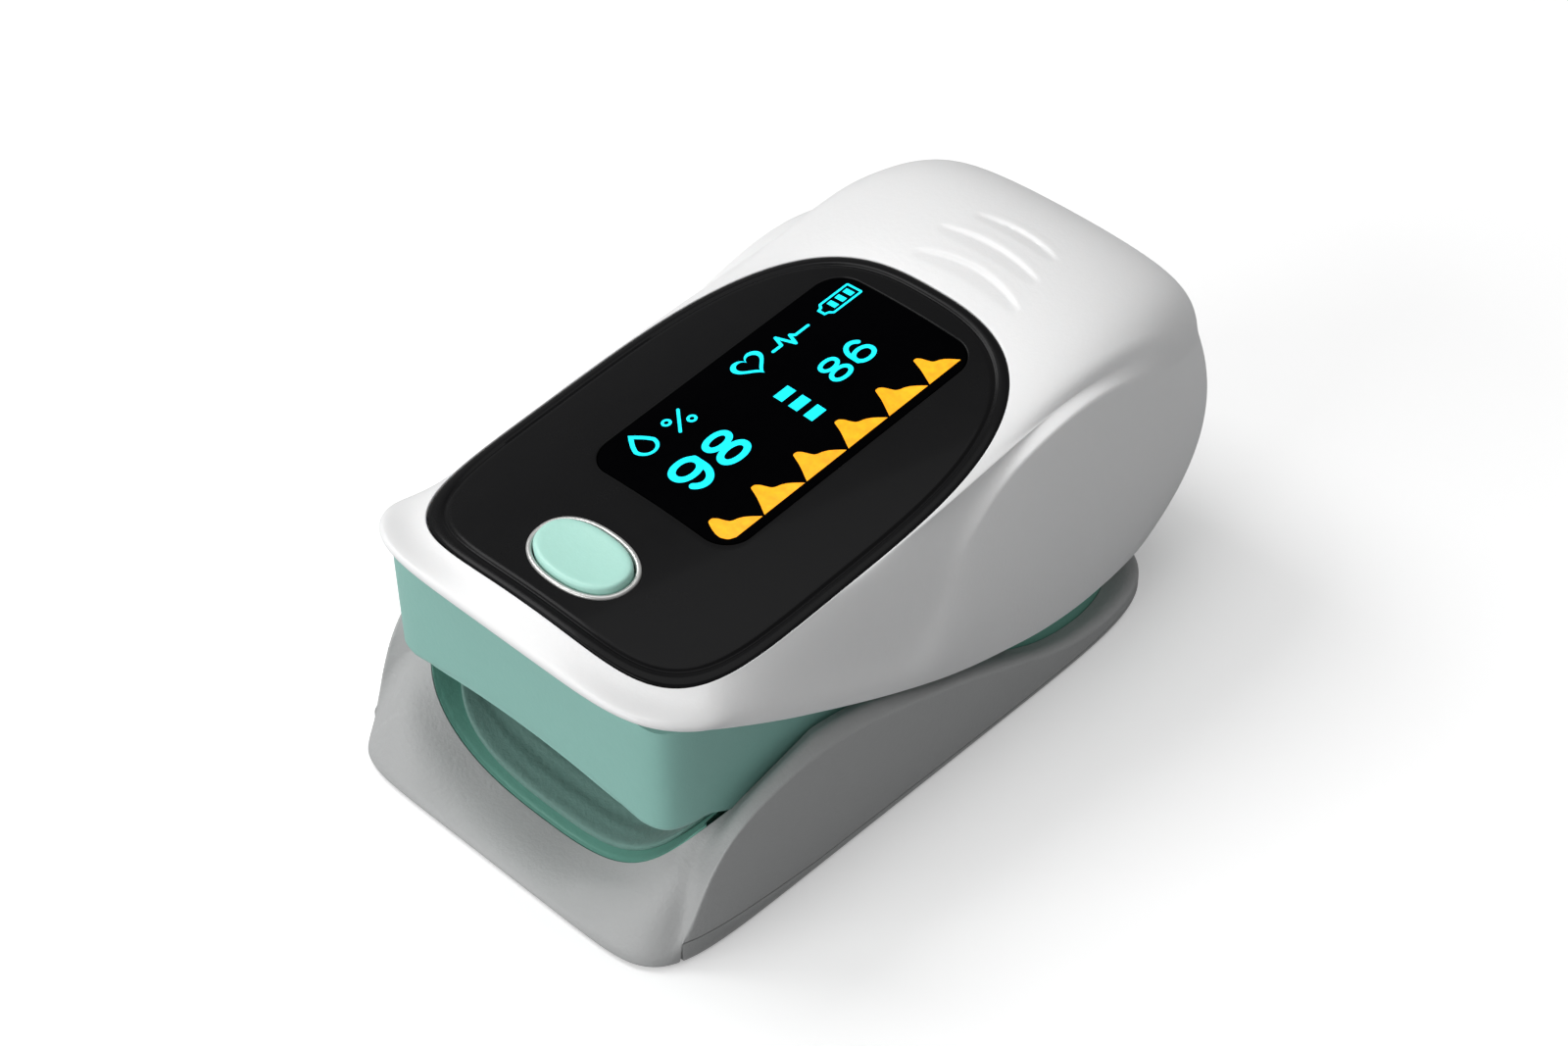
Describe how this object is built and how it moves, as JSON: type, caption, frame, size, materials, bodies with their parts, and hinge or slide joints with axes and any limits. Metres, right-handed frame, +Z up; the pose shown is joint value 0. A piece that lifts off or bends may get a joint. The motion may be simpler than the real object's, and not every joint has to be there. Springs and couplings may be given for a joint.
{
  "type": "fingertip pulse oximeter",
  "caption": "Two-part spring clamp with a padded finger channel, sloping display face with one button, and rear hatch over two small cells.",
  "frame": {"origin": "on the flat bottom face, on the centre plane, near the middle of the length", "axes": "+X to the device's right, -Y toward the finger mouth, +Y toward the pinch end, +Z up through the display"},
  "size_m": [0.036, 0.0667, 0.0283],
  "materials": {
    "grey_shell": "fine satin moulded texture",
    "grey_cover": "fine satin moulded texture",
    "white_shell": "smooth semi-gloss",
    "teal_frame_lower": "smooth satin",
    "teal_frame_upper": "smooth satin",
    "silicone": "soft matte",
    "black_gloss": "polished",
    "display_lens": "polished smoked window",
    "display_glass": "polished display panel",
    "mint_plastic": "smooth satin",
    "satin_metal": "satin plated",
    "steel": "bright",
    "spring_steel": "drawn wire",
    "plated_contact": "nickel plated",
    "circuit_board": "solder mask",
    "dark_chip": "moulded epoxy",
    "red_filter": "polished filter",
    "clear_window": "polished",
    "led_lens": "moulded epoxy",
    "flex_circuit": "polyimide film",
    "black_plastic": "moulded",
    "ivory_plastic": "moulded",
    "cell_jacket": "printed steel jacket, left plain",
    "component_ceramic": "fired ceramic",
    "foam": "adhesive foam"
  },
  "bodies": {
    "lower_half": {"lower_shell": "grey_shell", "base_cover": "grey_cover", "cover_screws": "steel", "lower_frame": "teal_frame_lower", "lower_finger_pad": "silicone", "detector_board": "circuit_board", "photodiode": "dark_chip", "detector_window": "red_filter", "sensor_cable": "flex_circuit", "hinge_pins": "steel", "return_springs": "spring_steel"},
    "upper_half": {"upper_shell": "white_shell", "upper_frame": "teal_frame_upper", "upper_finger_pad": "silicone", "emitter_board": "circuit_board", "emitter_leds": "led_lens", "emitter_window": "clear_window", "frame_screws": "steel", "battery_holder": "black_plastic", "battery_cells": "cell_jacket", "battery_springs": "spring_steel", "battery_contacts": "plated_contact", "main_board": "circuit_board", "processor_chip": "dark_chip", "small_components": "component_ceramic", "tact_switch": "black_plastic", "oled_panel": "display_glass", "display_flex": "flex_circuit", "bezel_gasket": "foam", "display_bezel": "black_gloss", "display_lens": "display_lens", "button_ring": "satin_metal"},
    "battery_hatch": {"battery_door": "white_shell", "battery_link": "plated_contact"},
    "power_key": {"power_button": "mint_plastic"},
    "key_plunger": {"switch_plunger": "ivory_plastic"}
  },
  "joints": [
    {"name": "jaw_hinge", "type": "hinge", "parent": "lower_half", "child": "upper_half", "pos_m": [0, -0.002, 0.007], "axis": [-1, 0, 0], "range_deg": [0, 8], "stiffness_Nm_per_rad": 0.4, "deforming": ["return_springs"]},
    {"name": "button_press", "type": "slide", "parent": "upper_half", "child": "power_key", "axis": [0, 0.0797, -0.9968], "range_m": [0, 0.0003], "stiffness_N_per_m": 500},
    {"name": "plunger_travel", "type": "slide", "parent": "upper_half", "child": "key_plunger", "axis": [0, 0.0797, -0.9968], "range_m": [0, 0.0003]},
    {"name": "battery_hatch_slide", "type": "slide", "parent": "upper_half", "child": "battery_hatch", "axis": [0, 1, 0], "range_m": [0, 0.012]}
  ],
  "couplings": [
    {"joint": "plunger_travel", "follows": "button_press", "ratio": 1}
  ]
}
